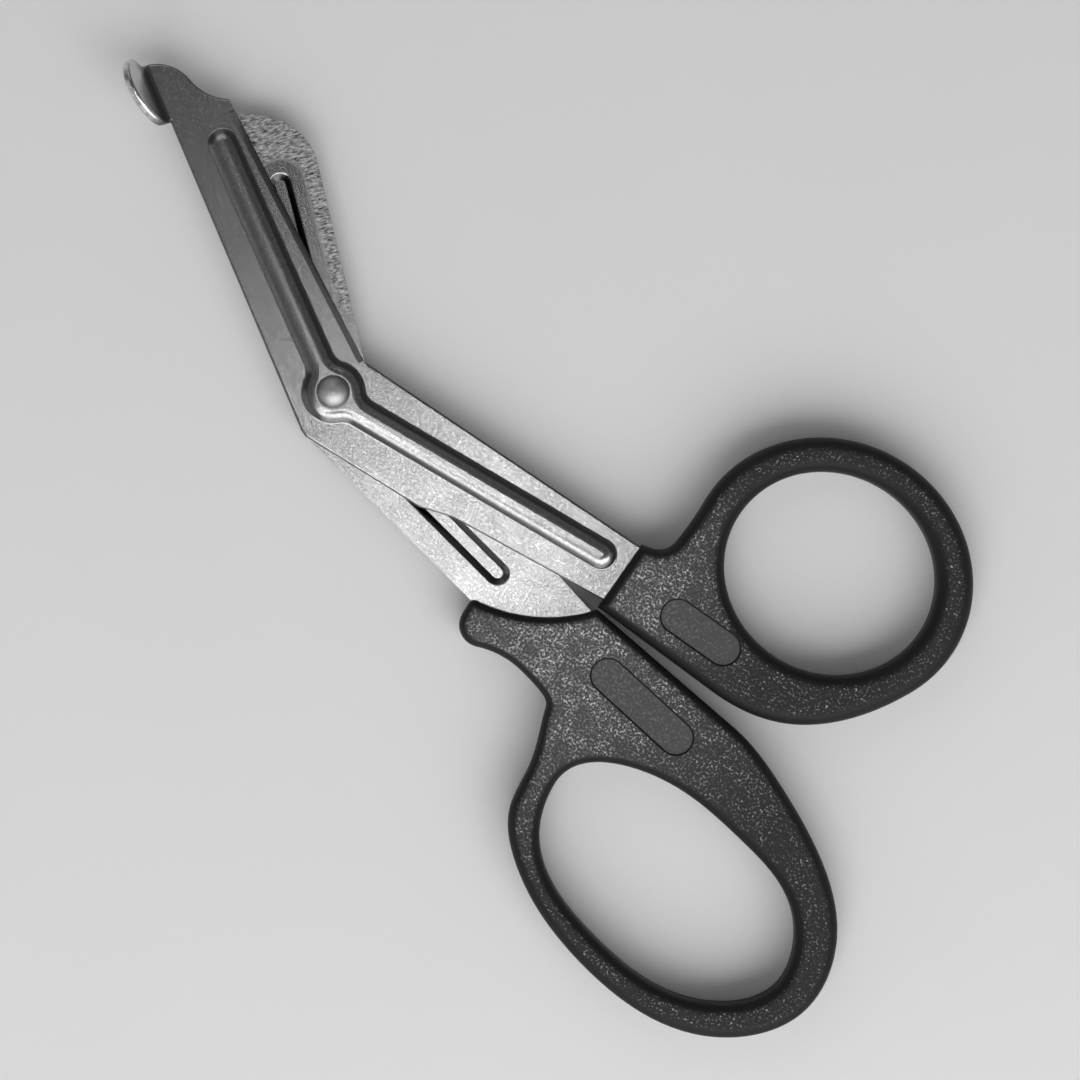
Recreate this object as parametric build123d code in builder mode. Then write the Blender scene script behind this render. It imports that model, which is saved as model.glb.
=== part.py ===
from build123d import *
from math import degrees, radians, sin, sqrt, tan
import os

# Bandage scissors: two stamped steel halves crossed on a domed rivet, each with a moulded handle.
# Millimetres. The origin lies on the pivot axis, on the plane that the scissors rest on. +X runs
# along the front half's shank from its handle to the pivot, +Y towards the finger handle, and +Z
# up through the thickness, from the rear half to the front half. The scissors are closed.

# Thicknesses, from the table up
handle_thickness = 8.0
sheet_thickness = 1.5
blade_gap = 0.1
rib_rise = 0.9

# Pivot rivet
shaft_radius = 1.75
running_clearance = 0.05
end_clearance = 0.05
head_radius = 2.75
head_height = 1.5
head_rim = 0.35
tail_radius = 2.6
tail_rounding = 0.6

# Pressed ribs, and the boss that joins them at the pivot
boss_margin = 0.6
shank_rib_width = 5.0
blade_rib_width = 4.9
rib_slope = 40.0
rib_join_radius = 2.5
rib_crown_radius = 3.0
crown_share = 0.42
slope_share = 0.8
rib_foot_radius = 0.5
groove_lip_radius = 0.4

# Cutting edges and stamped edges
bevel_width = 1.0
bevel_runout = 2.0
edge_land = 0.25
tooth_pitch = 1.2
tooth_depth = 0.35
tooth_start = 7.0
tooth_stop = 1.5
edge_break = 0.38

# Tangs inside the handles
tang_width = 6.5
tang_corner = 2.0
tang_overlap = 9.0
anchor_radius = 1.5
anchor_pitch = 9.0
steel_seat = 0.9

# Front half: its shank, in front of the thumb handle
front_shank_top = 6.85
front_shank_bottom = -3.7
front_step_start = (-27.3, 7.75)
front_step_end = (-21.5, 9.1)
front_crank_top = (0.3, 8.6)
front_crank_bottom = (-1.7, -6.9)
front_rib_offset = 0.65
front_rib_margin = 3.9
front_tang_offset = 3.1
front_tang_length = 19.0

# Front blade: places along and across its rib, which is cranked down from the shank
front_blade_angle = 35.5
front_back_heel = (-3.4, 7.4)
front_back_toe = (51.2, 6.4)
front_edge_toe = (50.8, -3.85)
front_blade_rib_margin = 6.3
foot_throat_bulge = (52.9, -1.15)
foot_throat_end = (56.3, 0.65)

# Blunt flange, folded up along the back of the foot
fold_inset = 0.45
fold_length = 10.1
fold_angle = 62.0
fold_radius = 0.8
flange_heel_bulge = (3.4, 4.6)
flange_toe_bulges = [(-2.8, 5.7), (0.6, 4.5), (1.4, 2.2)]
flange_rise = 0.4
flange_rounding = 0.45

# Rear half, in its own frame: +X along its shank
rear_shank_top = 8.3
rear_shank_bottom = -4.3
rear_crank_top = (-0.6, 8.3)
rear_crank_bottom = (0.0, -7.1)
rear_rib_offset = 2.05
rear_rib_margin = 9.8
rear_tang_offset = 1.0
rear_tang_length = 26.0

# Rear blade: places along and across its rib
rear_blade_angle = 30.6
rear_back_toe = (37.3, -6.8)
rear_nose_end = (45.5, -2.4)
rear_tip = (49.0, 6.4)
rear_blade_rib_margin = 13.8

# Both handles, which meet at their front corners when the blades are closed
closing_gap = 0.39
handle_edge_radius = 2.4
wall_share = 0.455
pad_depth = 0.3
pad_draft = 45.0

# Thumb handle: front face, straight top, knuckle, ring, throat and oval pad
thumb_front_top = (-55.1, 8.35)
thumb_front_bottom = (-56.1, -4.1)
thumb_top_end = (-78.5, 10.8)
thumb_knuckle = [(-91.0, 9.3), (-99.6, 3.5)]
thumb_ring_start = 153.0
thumb_ring_centre = (-85.2, -15.6)
thumb_ring_radii = (23.8, 21.9)
thumb_hole_centre = (-85.1, -15.65)
thumb_hole_radii = (17.7, 16.3)
thumb_neck = (-60.75, -7.4)
thumb_throat = (-57.9, -4.45)
thumb_pad_centre = (-71.6, 3.4)
thumb_pad_size = (15.0, 6.0)
thumb_pad_tilt = -4.7

# Finger handle, in the rear half's frame: front arc, straight bottom, loop, waist, lug and oval pad
finger_front_top = (-39.9, 7.9)
finger_front_bulge = (-49.7, 2.45)
finger_front_bottom = (-55.7, -5.25)
finger_bottom_end = (-85.5, -7.4)
finger_loop = [
    (-97.7, -6.0),
    (-111.0, -1.95),
    (-121.0, 4.7),
    (-126.0, 17.2),
    (-117.2, 31.8),
    (-94.5, 37.6),
    (-76.0, 33.8),
    (-68.6, 28.1),
    (-65.5, 19.9),
    (-61.4, 12.75),
]
finger_waist = (-54.0, 10.6)
finger_lug_start = (-46.0, 12.95)
finger_lug_end = (-40.5, 10.8)
finger_lug_corner = 1.0
finger_hole = [
    (-70.9, 20.0),
    (-77.7, 29.7),
    (-93.4, 33.0),
    (-112.6, 28.4),
    (-119.8, 17.8),
    (-114.0, 7.8),
    (-98.5, 4.85),
    (-79.4, 8.3),
]
finger_pad_centre = (-72.0, 0.8)
finger_pad_size = (21.0, 6.0)
finger_pad_tilt = 2.5

# Levels and frames that follow from the sizes
mating_height = handle_thickness / 2
front_inner = mating_height + blade_gap / 2
front_outer = front_inner + sheet_thickness
front_crown = front_outer + rib_rise
rear_inner = mating_height - blade_gap / 2
rear_outer = rear_inner - sheet_thickness
rear_crown = rear_outer - rib_rise
boss_radius = max(front_rib_offset, rear_rib_offset) + shank_rib_width / 2 + boss_margin
groove_inset = sheet_thickness * tan(radians(rib_slope / 2))
crown_width = min(shank_rib_width, blade_rib_width) - 2 * rib_rise / tan(radians(rib_slope))
slope_length = rib_rise / sin(radians(rib_slope))
crown_room = min(crown_share * crown_width, slope_share * slope_length)
crown_rounding = min(rib_crown_radius, crown_room / tan(radians(rib_slope / 2)))
thumb_corner = Vector(*thumb_front_top)
finger_corner = Vector(*finger_front_bottom)
corner_angle = finger_corner.get_signed_angle(thumb_corner, Vector(0, 0, -1))
closed_angle = corner_angle + degrees(closing_gap / finger_corner.length)
rear_frame = Plane.XY.rotated((0, 0, -closed_angle))


def along(angle, place):
    """Place along and across an axis that leaves the pivot at an angle, as a point of the half."""
    return Vector(*place).rotate(Axis.Z, angle)


def rib_plan(shank_offset, shank_end, blade_angle, blade_end, inset):
    """Shank rib, blade rib and boss in one outline, drawn in from the foot of the rib by an inset."""
    blade_tip = along(-blade_angle, (blade_end, 0))
    shank_tip = Vector(-shank_end, shank_offset)
    shank_middle = Vector(-shank_end / 2, shank_offset)
    with BuildSketch() as plan:
        Circle(boss_radius - inset)
        SlotCenterPoint(shank_middle, shank_tip, shank_rib_width - 2 * inset)
        SlotCenterPoint(blade_tip / 2, blade_tip, blade_rib_width - 2 * inset)
        joins = plan.vertices().group_by(SortBy.DISTANCE)[0]
        fillet(joins, min(rib_join_radius, boss_radius / 2) + inset)
    return plan.sketch


def tang_plan(root, length, offset):
    """Tongue of the sheet inside the handle, with the holes that the moulding fills."""
    end = root - length
    with BuildSketch() as plan:
        with Locations((end + (length + tang_overlap) / 2, offset)):
            RectangleRounded(length + tang_overlap, tang_width, tang_corner)
        with Locations((end + tang_width / 2, offset), (end + tang_width / 2 + anchor_pitch, offset)):
            Circle(anchor_radius, mode=Mode.SUBTRACT)
    return plan.sketch


def bevel_wedge(heel, toe, outward, inner, outer):
    """Steel that grinding takes off one sheet's outer face, from the heel to the toe of its edge."""
    rise = outer - inner
    land = edge_land if rise > 0 else -edge_land
    run = toe - heel
    section = Plane(origin=(heel.X, heel.Y, inner), x_dir=outward, z_dir=outward.cross(Vector(0, 0, 1)))
    length = run.dot(section.z_dir)
    with BuildPart() as wedge:
        with BuildSketch(section):
            with BuildLine():
                Polyline(
                    (-bevel_width, rise),
                    (0, land),
                    (bevel_width, land),
                    (bevel_width, 2 * rise),
                    (-bevel_width, 2 * rise),
                    close=True,
                )
            make_face()
        extrude(amount=length + bevel_runout)
    return wedge.part


def thumb_front_x(y):
    """X of the thumb handle's slanting front face at a height across the shank."""
    lean = (thumb_front_top[0] - thumb_front_bottom[0]) / (thumb_front_top[1] - thumb_front_bottom[1])
    return thumb_front_top[0] + (y - thumb_front_top[1]) * lean


os.makedirs("parts", exist_ok=True)

# Front blade: stamped sheet with its tang, folded flange, ground edge, ribs, boss and rivet hole
front_rib_end = -thumb_front_top[0] - front_rib_margin
front_blade_rib_end = front_edge_toe[0] - front_blade_rib_margin
front_ribs = (front_rib_offset, front_rib_end, front_blade_angle, front_blade_rib_end)
back_heel = along(-front_blade_angle, front_back_heel)
back_toe = along(-front_blade_angle, front_back_toe)
edge_heel = Vector(*front_crank_bottom)
edge_toe = along(-front_blade_angle, front_edge_toe)
back_run = (back_toe - back_heel).normalized()
back_out = back_run.rotate(Axis.Z, 90)
fold_heel = back_toe - back_out * fold_inset
fold_toe = fold_heel + back_run * fold_length
front_edge_out = (edge_toe - edge_heel).normalized().rotate(Axis.Z, -90)
steel_end_top = Vector(thumb_front_x(front_shank_top) - steel_seat, front_shank_top)
steel_end_bottom = Vector(thumb_front_x(front_shank_bottom) - steel_seat, front_shank_bottom)
front_tang_root = thumb_front_x(front_tang_offset) - steel_seat

# Flange: a rounded plate that stands up from the end of the bend, with its rim smoothed
bend_axis = Axis((fold_heel.X, fold_heel.Y, front_outer + fold_radius), back_run)
flange_face = Vector(0, 0, 1).rotate(Axis((0, 0, 0), back_run), fold_angle)
flange_foot = bend_axis.position - flange_face * fold_radius
flange_plane = Plane(flange_foot, x_dir=back_run, z_dir=flange_face)

with BuildPart() as flange:
    with BuildSketch(flange_plane):
        with BuildLine():
            heel_rise = Line((0, 0), (0, flange_rise))
            toe_rise = Line((fold_length, flange_rise), (fold_length, 0))
            rises = [heel_rise % 1, toe_rise % 0]
            crown = [flange_heel_bulge] + [(fold_length + x, y) for x, y in flange_toe_bulges]
            Spline(heel_rise @ 1, *crown, toe_rise @ 0, tangents=rises, tangent_scalars=[1, 1])
            Line(toe_rise @ 1, heel_rise @ 0)
        make_face()
    extrude(amount=-sheet_thickness)
    foot = flange.faces().sort_by(Axis(flange_foot, flange_plane.y_dir))[0]
    fillet(flange.faces().filter_by(flange_plane).edges() - foot.edges(), flange_rounding)

with BuildPart() as front_blade:
    with BuildSketch(Plane.XY.offset(front_inner)):
        with BuildLine():
            Polyline(steel_end_bottom, steel_end_top, front_step_start, front_step_end, front_crank_top)
            Polyline(front_crank_top, back_heel, back_toe, fold_heel, fold_toe)
            throat = ThreePointArc(
                edge_toe,
                along(-front_blade_angle, foot_throat_bulge),
                along(-front_blade_angle, foot_throat_end),
            )
            TangentArc(throat @ 1, fold_toe, tangent=throat % 1)
            Polyline(edge_toe, edge_heel, steel_end_bottom)
        make_face()
        add(tang_plan(front_tang_root, front_tang_length, front_tang_offset))
    extrude(amount=sheet_thickness)
    outline = front_blade.faces().sort_by(Axis.Z)[-1].outer_wire().edges()
    sharp = outline.sort_by_distance((edge_heel + edge_toe) / 2 + Vector(0, 0, front_outer))[:1]
    folded = outline.sort_by_distance((fold_heel + fold_toe) / 2 + Vector(0, 0, front_outer))[:1]
    fillet(outline - sharp - folded, edge_break)

    # Bend and flange: the sheet turns about an axis above the fold, then runs on as a rounded plate
    with BuildSketch(Plane(fold_heel + Vector(0, 0, front_inner), x_dir=back_run, z_dir=-back_out)):
        with Locations((fold_length / 2, sheet_thickness / 2)):
            RectangleRounded(fold_length, sheet_thickness, flange_rounding)
    revolve(axis=bend_axis, revolution_arc=fold_angle)
    add(flange.part)
    add(bevel_wedge(edge_heel, edge_toe, front_edge_out, front_inner, front_outer), mode=Mode.SUBTRACT)

    # Ribs and boss: raised on the outer face, hollow on the inner one
    with BuildSketch(Plane.XY.offset(front_outer)):
        add(rib_plan(*front_ribs, 0))
    extrude(amount=rib_rise, taper=90 - rib_slope)
    crown = front_blade.faces().filter_by(Plane.XY).group_by(Axis.Z)[-1]
    fillet(crown.edges(), crown_rounding)
    shoulder = front_blade.faces().filter_by(Plane.XY).group_by(Axis.Z)[-2]
    fillet(shoulder[0].inner_wires().edges(), rib_foot_radius)
    with BuildSketch(Plane.XY.offset(front_inner)):
        add(rib_plan(*front_ribs, groove_inset))
    extrude(amount=rib_rise, taper=90 - rib_slope, mode=Mode.SUBTRACT)
    mating_face = front_blade.faces().sort_by(Axis.Z)[0]
    groove_mouth = mating_face.inner_wires().sort_by(SortBy.LENGTH)[-1]
    fillet(groove_mouth.edges(), groove_lip_radius)
    with Locations((0, 0, front_crown)):
        Hole(shaft_radius)

front_blade.part.label = "front_blade"
export_step(front_blade.part, "parts/front_blade.step")

# Rear blade: stamped sheet with its tang, toothed ground edge, ribs, boss and rivet hole
rear_rib_end = -finger_front_bulge[0] - rear_rib_margin
rear_blade_rib_end = rear_tip[0] - rear_blade_rib_margin
rear_ribs = (rear_rib_offset, rear_rib_end, rear_blade_angle, rear_blade_rib_end)
rear_edge_heel = Vector(*rear_crank_top)
rear_edge_toe = along(-rear_blade_angle, rear_tip)
rear_edge_run = (rear_edge_toe - rear_edge_heel).normalized()
rear_edge_out = rear_edge_run.rotate(Axis.Z, 90)
rear_edge_angle = rear_edge_run.get_signed_angle(Vector(1, 0, 0), Vector(0, 0, -1))
plastic_front = ThreePointArc(finger_front_top, finger_front_bulge, finger_front_bottom)
seat_radius = plastic_front.radius + steel_seat


def rear_seat(y):
    """Point of the rear sheet's hidden end, which follows the finger handle's front arc."""
    centre = plastic_front.arc_center
    return Vector(centre.X - sqrt(seat_radius**2 - (y - centre.Y) ** 2), y)


rear_end_top = rear_seat(rear_shank_top)
rear_end_bottom = rear_seat(rear_shank_bottom)
rear_tang_root = rear_seat(rear_tang_offset).X
toothed_length = (rear_edge_toe - rear_edge_heel).length - tooth_start - tooth_stop
tooth_places = [
    Location(rear_edge_heel + rear_edge_run * (tooth_start + tooth_pitch * k), rear_edge_angle)
    for k in range(int(toothed_length / tooth_pitch))
]

with BuildPart() as rear_blade:
    with BuildSketch(rear_frame.offset(rear_outer)):
        with BuildLine():
            Polyline(rear_end_top, rear_edge_heel, rear_edge_toe)
            back = Line(rear_crank_bottom, along(-rear_blade_angle, rear_back_toe))
            nose = TangentArc(back @ 1, along(-rear_blade_angle, rear_nose_end), tangent=back % 1)
            TangentArc(nose @ 1, rear_edge_toe, tangent=nose % 1)
            Line(rear_crank_bottom, rear_end_bottom)
            ThreePointArc(rear_end_bottom, rear_seat((rear_shank_top + rear_shank_bottom) / 2), rear_end_top)
        make_face()
        add(tang_plan(rear_tang_root, rear_tang_length, rear_tang_offset))
    extrude(amount=sheet_thickness)

    outline = rear_blade.faces().sort_by(Axis.Z)[0].outer_wire().edges()
    edge_middle = rear_frame.from_local_coords((rear_edge_heel + rear_edge_toe) / 2)
    sharp = outline.sort_by_distance(edge_middle + Vector(0, 0, rear_outer))[:1]
    bare = outline.filter_by_position(Axis.X, -rear_rib_end, rear_tip[0])
    fillet(bare - sharp, edge_break)

    wedge = bevel_wedge(rear_edge_heel, rear_edge_toe, rear_edge_out, rear_inner, rear_outer)
    add(rear_frame.location * wedge, mode=Mode.SUBTRACT)
    with BuildSketch(rear_frame.offset(rear_outer)):
        with Locations(*tooth_places):
            Polygon((0, 0), (tooth_pitch / 2, -tooth_depth), (tooth_pitch, 0), align=None)
    extrude(amount=sheet_thickness, mode=Mode.SUBTRACT)

    # Ribs and boss: pushed out on the lower face, hollow on the mating one
    with BuildSketch(rear_frame.offset(rear_outer)):
        add(rib_plan(*rear_ribs, 0))
    extrude(amount=-rib_rise, taper=90 - rib_slope)
    crown = rear_blade.faces().filter_by(Plane.XY).group_by(Axis.Z)[0]
    fillet(crown.edges(), crown_rounding)
    shoulder = rear_blade.faces().filter_by(Plane.XY).group_by(Axis.Z)[1]
    fillet(shoulder[0].inner_wires().edges(), rib_foot_radius)
    with BuildSketch(rear_frame.offset(rear_inner)):
        add(rib_plan(*rear_ribs, groove_inset))
    extrude(amount=-rib_rise, taper=90 - rib_slope, mode=Mode.SUBTRACT)
    mating_face = rear_blade.faces().sort_by(Axis.Z)[-1]
    groove_mouth = mating_face.inner_wires().sort_by(SortBy.LENGTH)[-1]
    fillet(groove_mouth.edges(), groove_lip_radius)
    with Locations((0, 0, rear_inner)):
        Hole(shaft_radius + running_clearance)

rear_blade.part.label = "rear_blade"
export_step(rear_blade.part, "parts/rear_blade.step")

# Thumb handle, moulded round the front tang
with BuildPart() as thumb_handle:
    with BuildSketch():
        with BuildLine():
            top = Line(thumb_front_top, thumb_top_end)
            ring = EllipticalCenterArc(
                thumb_ring_centre,
                *thumb_ring_radii,
                start_angle=thumb_ring_start,
                arc_size=360 - thumb_ring_start,
            )
            Spline(top @ 1, *thumb_knuckle, ring @ 0, tangents=[top % 1, ring % 0], tangent_scalars=[1, 1])
            neck = TangentArc(ring @ 1, thumb_neck, tangent=ring % 1)
            throat = TangentArc(neck @ 1, thumb_throat, tangent=neck % 1)
            Polyline(throat @ 1, thumb_front_bottom, thumb_front_top)
        make_face()
        with Locations(thumb_hole_centre):
            Ellipse(*thumb_hole_radii, mode=Mode.SUBTRACT)
    extrude(amount=handle_thickness)
    levels = thumb_handle.edges().group_by(Axis.Z)
    thumb_wall = min(thumb_ring_radii) - min(thumb_hole_radii)
    fillet(levels[0] + levels[-1], min(handle_edge_radius, wall_share * thumb_wall))
    with BuildSketch(Plane.XY.offset(handle_thickness)):
        with Locations(thumb_pad_centre):
            SlotOverall(*thumb_pad_size, rotation=thumb_pad_tilt)
    extrude(amount=-pad_depth, taper=pad_draft, mode=Mode.SUBTRACT)
    add(front_blade.part, mode=Mode.SUBTRACT)

thumb_handle.part.label = "thumb_handle"
export_step(thumb_handle.part, "parts/thumb_handle.step")

# Finger handle, moulded round the rear tang
with BuildPart() as finger_handle:
    with BuildSketch(rear_frame) as profile:
        with BuildLine():
            bottom = Line(finger_front_bottom, finger_bottom_end)
            loop = Spline(bottom @ 1, *finger_loop, finger_waist, tangents=[bottom % 1, (1, 0)])
            waist = TangentArc(finger_waist, finger_lug_start, tangent=(1, 0))
            nose = TangentArc(waist @ 1, finger_lug_end, tangent=waist % 1)
            TangentArc(nose @ 1, finger_front_top, tangent=nose % 1)
            ThreePointArc(finger_front_top, finger_front_bulge, finger_front_bottom)
        make_face()
        fillet(profile.vertices().sort_by_distance(finger_front_top)[0], finger_lug_corner)
        with BuildLine():
            hole = Spline(*finger_hole, periodic=True)
        make_face(mode=Mode.SUBTRACT)
    extrude(amount=handle_thickness)
    levels = finger_handle.edges().group_by(Axis.Z)
    fillet(levels[0] + levels[-1], min(handle_edge_radius, wall_share * loop.distance_to(hole)))
    with BuildSketch(rear_frame.offset(handle_thickness)):
        with Locations(finger_pad_centre):
            SlotOverall(*finger_pad_size, rotation=finger_pad_tilt)
    extrude(amount=-pad_depth, taper=pad_draft, mode=Mode.SUBTRACT)
    add(rear_blade.part, mode=Mode.SUBTRACT)

finger_handle.part.label = "finger_handle"
export_step(finger_handle.part, "parts/finger_handle.step")

# Pivot rivet: domed head on the front boss, shaft, and a flat tail that stands on the table
tail_height = rear_crown - end_clearance
dome_rise = head_height - head_rim
dome_radius = (head_radius**2 + dome_rise**2) / (2 * dome_rise)

with BuildPart() as pivot_rivet:
    with BuildSketch(Plane.XZ):
        with BuildLine():
            tail = Line((0, 0), (tail_radius - tail_rounding, 0))
            corner = TangentArc(tail @ 1, (tail_radius, tail_rounding), tangent=tail % 1)
            side = Polyline(
                corner @ 1,
                (tail_radius, tail_height),
                (shaft_radius, tail_height),
                (shaft_radius, front_crown),
                (head_radius, front_crown),
                (head_radius, front_crown + head_rim),
            )
            dome = RadiusArc(side @ 1, (0, front_crown + head_height), -dome_radius)
            Line(dome @ 1, tail @ 0)
        make_face()
    revolve(axis=Axis.Z)

pivot_rivet.part.label = "pivot_rivet"
export_step(pivot_rivet.part, "parts/pivot_rivet.step")
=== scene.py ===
from math import pi, radians

import bmesh
import bpy
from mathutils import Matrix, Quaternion, Vector


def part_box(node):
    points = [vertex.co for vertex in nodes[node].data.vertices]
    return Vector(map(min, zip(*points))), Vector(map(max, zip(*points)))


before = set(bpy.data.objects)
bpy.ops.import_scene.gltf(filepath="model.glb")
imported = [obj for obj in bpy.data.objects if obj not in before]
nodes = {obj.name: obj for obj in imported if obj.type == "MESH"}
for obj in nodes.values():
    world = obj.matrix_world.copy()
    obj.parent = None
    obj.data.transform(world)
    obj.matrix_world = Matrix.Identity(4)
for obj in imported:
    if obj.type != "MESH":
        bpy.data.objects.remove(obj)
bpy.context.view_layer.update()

# Bandage scissors, closed, lying on a pale table and seen from straight above.
# Metres, in the model's own frame: the pivot axis is Z, the handles lie towards -X, and the finger
# handle lies towards +Y. Tones and brightness are linear, with 1 as white. A pair of values is what a
# mask gives at 0 and at 1, or where a ramp starts and ends.

MM = 0.001
front_blade = nodes["front_blade"]
rear_blade = nodes["rear_blade"]
thumb_handle = nodes["thumb_handle"]
finger_handle = nodes["finger_handle"]
pivot_rivet = nodes["pivot_rivet"]
handle_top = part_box("thumb_handle")[1][2]

# Sizes of the model that the finishes follow
pad_depth = 0.3 * MM
pad_margin = 0.1 * MM
rear_blade_angle = -45.0
groove_length = 35.2 * MM
groove_border = (3.6 * MM, 4.7 * MM)
grinding_start = (8 * MM, 16 * MM)
flange_rise = (6.7 * MM, 8.7 * MM)

# View: straight down, turned so that the blades point to the upper left
view_centre = Vector((-41.4, 3.7, 4.0)) * MM
view_width = 177.1 * MM
view_turn = radians(-149.5)
lens_mm = 135.0
sensor_mm = 36.0
near_limit = 10 * MM


def place_camera():
    """Camera above the scissors, as far off as its lens needs for the view's width."""
    data = bpy.data.cameras.new("camera")
    data.lens = lens_mm
    data.sensor_width = sensor_mm
    data.clip_start = near_limit
    camera = bpy.data.objects.new("camera", data)
    distance = view_width * lens_mm / sensor_mm
    camera.location = view_centre + Vector((0, 0, distance))
    camera.rotation_euler = (0, 0, view_turn)
    bpy.context.collection.objects.link(camera)
    bpy.context.scene.camera = camera


# Node helpers
def put(tree, socket, value):
    """Set a socket to a value, or link it to the value when that is a socket."""
    if isinstance(value, bpy.types.NodeSocket):
        tree.links.new(value, socket)
    else:
        socket.default_value = value


def add_node(tree, kind, **values):
    """New node of a kind, with the sockets that the values name put to them."""
    node = tree.nodes.new(kind)
    for name, value in values.items():
        put(tree, node.inputs[name.replace("_", " ")], value)
    return node


def calculate(tree, operation, a, b=0.0):
    """Output of a Math node on two values or sockets."""
    node = tree.nodes.new("ShaderNodeMath")
    node.operation = operation
    put(tree, node.inputs[0], a)
    put(tree, node.inputs[1], b)
    return node.outputs[0]


def plus(tree, a, b):
    return calculate(tree, "ADD", a, b)


def minus(tree, a, b):
    return calculate(tree, "SUBTRACT", a, b)


def times(tree, a, b):
    return calculate(tree, "MULTIPLY", a, b)


def parts(tree, vector):
    """X, Y and Z of a vector."""
    return add_node(tree, "ShaderNodeSeparateXYZ", Vector=vector).outputs


def ramp(tree, value, low, high):
    """Value from 0 at low to 1 at high, smooth between."""
    node = add_node(tree, "ShaderNodeMapRange", Value=value, From_Min=low, From_Max=high)
    node.interpolation_type = "SMOOTHSTEP"
    return node.outputs["Result"]


def blend(tree, mask, low, high):
    """Value that goes from low to high with a mask."""
    return add_node(tree, "ShaderNodeMapRange", Value=mask, To_Min=low, To_Max=high).outputs["Result"]


def grey(tree, value):
    """Neutral colour of a value."""
    return add_node(tree, "ShaderNodeCombineColor", Red=value, Green=value, Blue=value).outputs[0]


def noise(tree, place, cells, detail=2.0, roughness=0.5):
    """Noise with so many cells to the metre."""
    node = add_node(tree, "ShaderNodeTexNoise", Vector=place, Scale=cells, Detail=detail,
                    Roughness=roughness)
    return node.outputs["Fac"]


# Light: a strip box overhead, which the flat steel mirrors, a wide box above the handles, and dim
# panels round about, with the side that the ribs' thumb flanks face left dark
lamp_aim = (-0.04, 0.0, 0.0)
strip_foot = (0.062, 0.33, 0.0)
strip_centre = (0.062, 0.33, 0.90)

# The room's own light, by the rise of its direction from 0 at the horizon to 1 overhead
wall_light = 0.35
sky_light = 0.13
overhead_light = 0.04
wall_band = (0.02, 0.4)
overhead_band = (0.7, 0.93)


def soft_box(name, centre, aim, width, height, brightness, turn_deg=0.0):
    """Area lamp at a centre, facing a point, as bright per area as the brightness says."""
    data = bpy.data.lights.new(name, "AREA")
    data.shape = "RECTANGLE"
    data.size = width
    data.size_y = height
    data.energy = brightness * pi * width * height
    lamp = bpy.data.objects.new(name, data)
    lamp.location = centre
    facing_aim = (Vector(centre) - Vector(aim)).to_track_quat("Z", "Y")
    lamp.rotation_euler = (facing_aim @ Quaternion((0, 0, 1), radians(turn_deg))).to_euler()
    bpy.context.collection.objects.link(lamp)


def light_lamps():
    soft_box("overhead_strip", strip_centre, strip_foot, width=0.05, height=0.78, brightness=5.0,
             turn_deg=-15.0)
    soft_box("handle_box", (-0.55, 0.55, 0.66), lamp_aim, width=1.5, height=0.95, brightness=2.3)
    soft_box("blade_panel", (0.62, 0.80, 0.32), lamp_aim, width=0.9, height=0.6, brightness=0.6)
    soft_box("tip_panel", (0.66, -0.55, 0.66), lamp_aim, width=0.8, height=1.2, brightness=0.36)
    soft_box("ring_panel", (-0.98, -0.28, 0.52), lamp_aim, width=0.7, height=0.9, brightness=0.36)
    soft_box("finger_panel", (-0.20, 1.00, 0.45), lamp_aim, width=0.9, height=0.6, brightness=0.22)


def light_room():
    """World with pale walls, a dim sky and a darker patch overhead."""
    world = bpy.data.worlds.new("studio")
    world.use_nodes = True
    tree = world.node_tree
    direction = tree.nodes.new("ShaderNodeTexCoord").outputs["Generated"]
    rise = parts(tree, direction)["Z"]
    sky = blend(tree, ramp(tree, rise, *overhead_band), sky_light, overhead_light)
    strength = blend(tree, ramp(tree, rise, *wall_band), wall_light, sky)
    background = tree.nodes["Background"]
    background.inputs["Color"].default_value = (1, 1, 1, 1)
    tree.links.new(strength, background.inputs["Strength"])
    bpy.context.scene.world = world


# Shared effects: the grain's coarse part, as a share of its cells and its height, and the heights
# of the noise between which specks and clouds come up
coarse_cells = 0.31
fine_share = 0.9
coarse_share = 0.1
speck_heights = (0.45, 0.72)
cloud_heights = (0.32, 0.68)


def new_group(name, inputs, outputs):
    """Shader node group with named value sockets, and its two end nodes."""
    tree = bpy.data.node_groups.new(name, "ShaderNodeTree")
    for socket, default in inputs.items():
        kind = "NodeSocketVector" if default is None else "NodeSocketFloat"
        made = tree.interface.new_socket(socket, in_out="INPUT", socket_type=kind)
        if default is not None:
            made.default_value = default
    for socket in outputs:
        tree.interface.new_socket(socket, in_out="OUTPUT", socket_type="NodeSocketFloat")
    return tree, tree.nodes.new("NodeGroupInput").outputs, tree.nodes.new("NodeGroupOutput").inputs


def grain_group():
    """Even, fine grain: a height for bump, and specks where it stands highest."""
    inputs = {"Place": None, "Cells": 2500.0, "Sharpness": 0.5, "Thinning": 0.0}
    tree, given, result = new_group("grain", inputs, ["Height", "Specks"])
    fine = noise(tree, given["Place"], given["Cells"], roughness=given["Sharpness"])
    coarse = noise(tree, given["Place"], times(tree, given["Cells"], coarse_cells), detail=1.0)
    height = plus(tree, times(tree, fine, fine_share), times(tree, coarse, coarse_share))
    tree.links.new(height, result["Height"])
    thinned = minus(tree, height, given["Thinning"])
    tree.links.new(ramp(tree, thinned, *speck_heights), result["Specks"])
    return tree


def handling_group():
    """Soft, uneven cloud that handling and cleaning leave on a surface."""
    tree, given, result = new_group("handling", {"Place": None, "Cells": 60.0}, ["Cloud"])
    broad = noise(tree, given["Place"], given["Cells"], detail=4.0, roughness=0.55)
    tree.links.new(ramp(tree, broad, *cloud_heights), result["Cloud"])
    return tree


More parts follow.
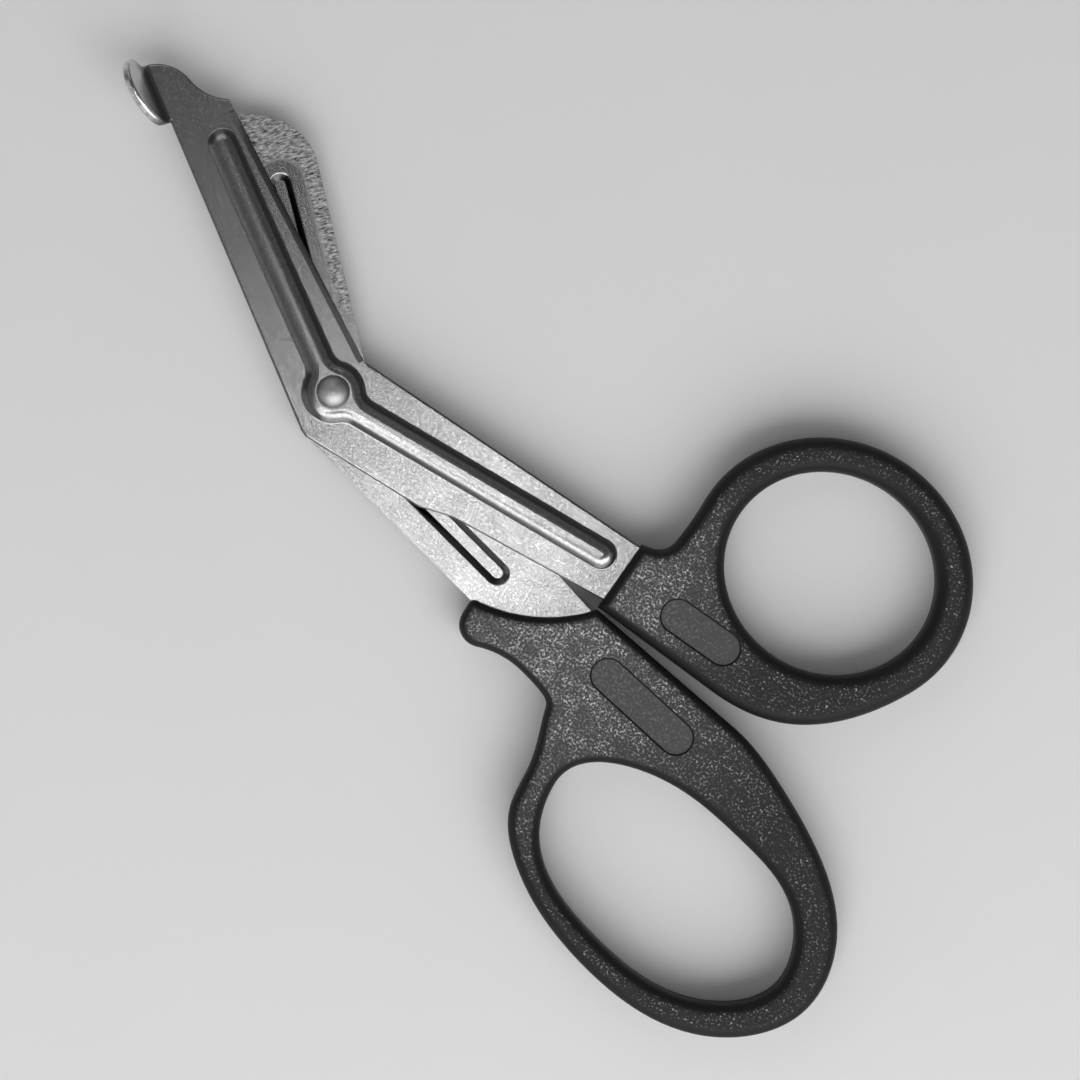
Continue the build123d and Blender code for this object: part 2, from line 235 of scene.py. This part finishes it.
def facing_group():
    """Mask of the faces that lie flat, against those that lean or are rounded."""
    tree, given, result = new_group("facing", {"Steep": 0.93, "Flat": 0.985}, ["Flat Faces"])
    normal = tree.nodes.new("ShaderNodeNewGeometry").outputs["Normal"]
    rise = calculate(tree, "ABSOLUTE", parts(tree, normal)["Z"])
    node = add_node(tree, "ShaderNodeMapRange", Value=rise, From_Min=given["Steep"], From_Max=given["Flat"])
    tree.links.new(node.outputs["Result"], result["Flat Faces"])
    return tree


grain = grain_group()
handling = handling_group()
facing = facing_group()


def use_group(tree, group, **values):
    """Outputs of a shared effect placed in a material with its own values."""
    node = tree.nodes.new("ShaderNodeGroup")
    node.node_tree = group
    for name, value in values.items():
        put(tree, node.inputs[name], value)
    return node.outputs


def new_material(name):
    """Material with its tree, its shader and the piece's own place in metres."""
    material = bpy.data.materials.new(name)
    material.use_nodes = True
    tree = material.node_tree
    place = tree.nodes.new("ShaderNodeTexCoord").outputs["Object"]
    return material, tree, tree.nodes["Principled BSDF"], place


def set_bump(tree, shader, height, strength, depth):
    """Relief of a height, where a height of 1 stands as high as the depth says."""
    bump = add_node(tree, "ShaderNodeBump", Strength=strength, Distance=depth, Height=height)
    tree.links.new(bump.outputs["Normal"], shader.inputs["Normal"])


# Blasted steel, with painted shade that makes its leaning faces and stamped edges darker than its flat ones
blast_tones = (0.63, 0.92)
blast_roughness = (0.22, 0.24)
blast_height = 0.3
stain_tone = 0.04
rib_side_painted_shade = 0.2
flange_painted_shade = 0.85
steel_relief = 0.04 * MM

# Cross-ground steel beside the rear blade's groove, with lines square to the blade
line_cells_along = 3600.0
line_cells_across = 1000.0
line_middle = 0.53
line_contrast = 2.5
line_height = 0.6
ground_roughness = 0.42


def groove_distance(tree, part):
    """Distance from the groove's line, which runs along X from the pivot."""
    past_end = calculate(tree, "MAXIMUM", minus(tree, part["X"], groove_length), 0.0)
    square = plus(tree, times(tree, past_end, past_end), times(tree, part["Y"], part["Y"]))
    return calculate(tree, "SQRT", square)


def grinding(tree, place, blade_angle):
    """Mask of the ground steel on a blade at an angle, and the lines that the wheel left there."""
    turn = (0, 0, radians(-blade_angle))
    along_blade = add_node(tree, "ShaderNodeMapping", Vector=place, Rotation=turn).outputs[0]
    part = parts(tree, along_blade)
    off_groove = ramp(tree, groove_distance(tree, part), *groove_border)
    past_boss = ramp(tree, part["X"], *grinding_start)
    stretch = (line_cells_along, line_cells_across, line_cells_along)
    line_place = add_node(tree, "ShaderNodeMapping", Vector=along_blade, Scale=stretch).outputs[0]
    lines = noise(tree, line_place, cells=1.0, roughness=0.65)
    return times(tree, off_groove, past_boss), lines


def blasted_steel(name, ground_angle=None):
    """Sheet steel with a fine blasted grain, cross-ground where a blade's angle is given, with painted
    shade on its leaning faces.
    """
    material, tree, shader, place = new_material(name)
    blast = use_group(tree, grain, Place=place, Cells=2300.0, Sharpness=0.75)
    cloud = use_group(tree, handling, Place=place, Cells=140.0)["Cloud"]
    flat = use_group(tree, facing, Steep=0.88, Flat=0.99)["Flat Faces"]
    tone = minus(tree, blend(tree, blast["Specks"], *blast_tones), times(tree, cloud, stain_tone))
    roughness = blend(tree, cloud, *blast_roughness)
    height = times(tree, blast["Height"], blast_height)
    if ground_angle is not None:
        ground, lines = grinding(tree, place, ground_angle)
        streaks = times(tree, minus(tree, lines, line_middle), line_contrast)
        tone = plus(tree, tone, times(tree, ground, streaks))
        roughness = blend(tree, ground, roughness, ground_roughness)
        height = blend(tree, ground, height, times(tree, lines, line_height))
    # Painted shade: leaning faces, rib flanks and stamped edges are darkened, less so on the bent-up flange
    on_flange = ramp(tree, parts(tree, place)["Z"], *flange_rise)
    leaning_painted_shade = blend(tree, on_flange, rib_side_painted_shade, flange_painted_shade)
    tone = times(tree, tone, blend(tree, flat, leaning_painted_shade, 1.0))
    tree.links.new(grey(tree, tone), shader.inputs["Base Color"])
    shader.inputs["Metallic"].default_value = 1.0
    tree.links.new(roughness, shader.inputs["Roughness"])
    set_bump(tree, shader, height, strength=0.6, depth=steel_relief)
    return material


# Rivet steel; its side share is painted shade down the side of the dome
rivet_tones = (0.5, 0.64)
rivet_side_painted_shade = 0.3
rivet_roughness = (0.45, 0.52)


def turned_steel(name):
    """Semi-bright rivet, with painted shade that darkens it down the side of its dome."""
    material, tree, shader, place = new_material(name)
    cloud = use_group(tree, handling, Place=place, Cells=900.0)["Cloud"]
    top = use_group(tree, facing, Steep=0.78, Flat=0.96)["Flat Faces"]
    tone = times(tree, blend(tree, cloud, *rivet_tones), blend(tree, top, rivet_side_painted_shade, 1.0))
    tree.links.new(grey(tree, tone), shader.inputs["Base Color"])
    shader.inputs["Metallic"].default_value = 1.0
    tree.links.new(blend(tree, cloud, *rivet_roughness), shader.inputs["Roughness"])
    return material


# Handle plastic: pairs that go from fresh to worn, then its other tones and its relief. The peak tones are
# painted glints on the grain's specks.
hollow_tones = (0.085, 0.03)
painted_glint_tones = (1.0, 0.85)
# Power on the flat mask, fresh to worn: it narrows the grain and widens the painted shade of the rounded
# borders
grain_narrowing_and_edge_shade = (1.0, 5.0)
worn_thinning = 0.085
patch_shares = (0.25, 1.0)
pad_tones = (0.09, 0.2)
pad_relief_share = 0.25
# Rounded borders: a smooth near-black, deepened by painted shade down the rounding
rounded_painted_shade_tone = 0.012
plastic_roughness = (0.5, 0.62)
plastic_specular = 0.2
plastic_relief = 0.12 * MM

# Where each handle's grain is fresh: a point of its body, and how far off the wear starts and is full
thumb_body = Vector((-54, 3, 8)) * MM
thumb_wear = (1 * MM, 32 * MM)
finger_body = Vector((-50, 17, 8)) * MM
finger_wear = (1 * MM, 52 * MM)


def distance_from(tree, place, point):
    away = tree.nodes.new("ShaderNodeVectorMath")
    away.operation = "DISTANCE"
    tree.links.new(place, away.inputs[0])
    away.inputs[1].default_value = point
    return away.outputs["Value"]


def grained_plastic(name, fresh_point, wear):
    """Near-black moulding: spark-eroded grain with painted glints on flat faces, thinner round its ring,
    faint in its pad; its rounded edges near-black, partly their own smooth finish and partly painted shade.
    """
    material, tree, shader, place = new_material(name)
    from_pad = minus(tree, parts(tree, place)["Z"], handle_top - pad_depth)
    in_pad = calculate(tree, "LESS_THAN", calculate(tree, "ABSOLUTE", from_pad), pad_margin)
    worn = ramp(tree, distance_from(tree, place, fresh_point), *wear)
    level = use_group(tree, facing, Steep=0.80, Flat=0.9995)["Flat Faces"]
    flat = calculate(tree, "POWER", level, blend(tree, worn, *grain_narrowing_and_edge_shade))
    rough_face = times(tree, flat, blend(tree, in_pad, 1.0, pad_relief_share))
    thinning = times(tree, worn, worn_thinning)
    spark = use_group(tree, grain, Place=place, Cells=2500.0, Sharpness=0.6, Thinning=thinning)
    patches = use_group(tree, handling, Place=place, Cells=420.0)["Cloud"]
    # Painted glints: the grain's highest specks are lightened towards white as if they caught the light
    glint_peak = times(tree, blend(tree, worn, *painted_glint_tones), blend(tree, patches, *patch_shares))
    grain_and_glint_tone = blend(tree, spark["Specks"], blend(tree, worn, *hollow_tones), glint_peak)
    pad_tone = blend(tree, spark["Specks"], *pad_tones)
    face_tone = blend(tree, in_pad, grain_and_glint_tone, pad_tone)
    # Painted shade: the rounded borders go to the darker tone, partly their own smooth finish
    tree.links.new(grey(tree, blend(tree, flat, rounded_painted_shade_tone, face_tone)), shader.inputs["Base Color"])
    tree.links.new(blend(tree, rough_face, *plastic_roughness), shader.inputs["Roughness"])
    shader.inputs["Specular IOR Level"].default_value = plastic_specular
    relief = times(tree, spark["Height"], rough_face)
    set_bump(tree, shader, relief, strength=0.5, depth=plastic_relief)
    return material


def dress(piece, material):
    """Give a piece one material all over."""
    piece.data.materials.clear()
    piece.data.materials.append(material)


# Table top, a hair below the scissors so that no faces share its plane
floor_reach = 1.5
floor_level = -0.02 * MM
floor_tones = (0.87, 0.89)


def pale_floor():
    """Plain pale table top under the scissors."""
    mesh = bpy.data.meshes.new("floor")
    form = bmesh.new()
    bmesh.ops.create_grid(form, x_segments=1, y_segments=1, size=floor_reach)
    form.to_mesh(mesh)
    form.free()
    floor = bpy.data.objects.new("floor", mesh)
    floor.location = (view_centre.x, view_centre.y, floor_level)
    bpy.context.collection.objects.link(floor)
    material, tree, shader, place = new_material("pale_floor")
    tone = blend(tree, noise(tree, place, cells=30.0, detail=3.0), *floor_tones)
    tree.links.new(grey(tree, tone), shader.inputs["Base Color"])
    shader.inputs["Roughness"].default_value = 0.9
    shader.inputs["Specular IOR Level"].default_value = 0.1
    dress(floor, material)


dress(front_blade, blasted_steel("blasted_steel"))
dress(rear_blade, blasted_steel("ground_steel", rear_blade_angle))
dress(pivot_rivet, turned_steel("turned_steel"))
dress(thumb_handle, grained_plastic("thumb_plastic", thumb_body, thumb_wear))
dress(finger_handle, grained_plastic("finger_plastic", finger_body, finger_wear))
pale_floor()
light_lamps()
light_room()
place_camera()
bpy.context.scene.view_settings.view_transform = "Standard"
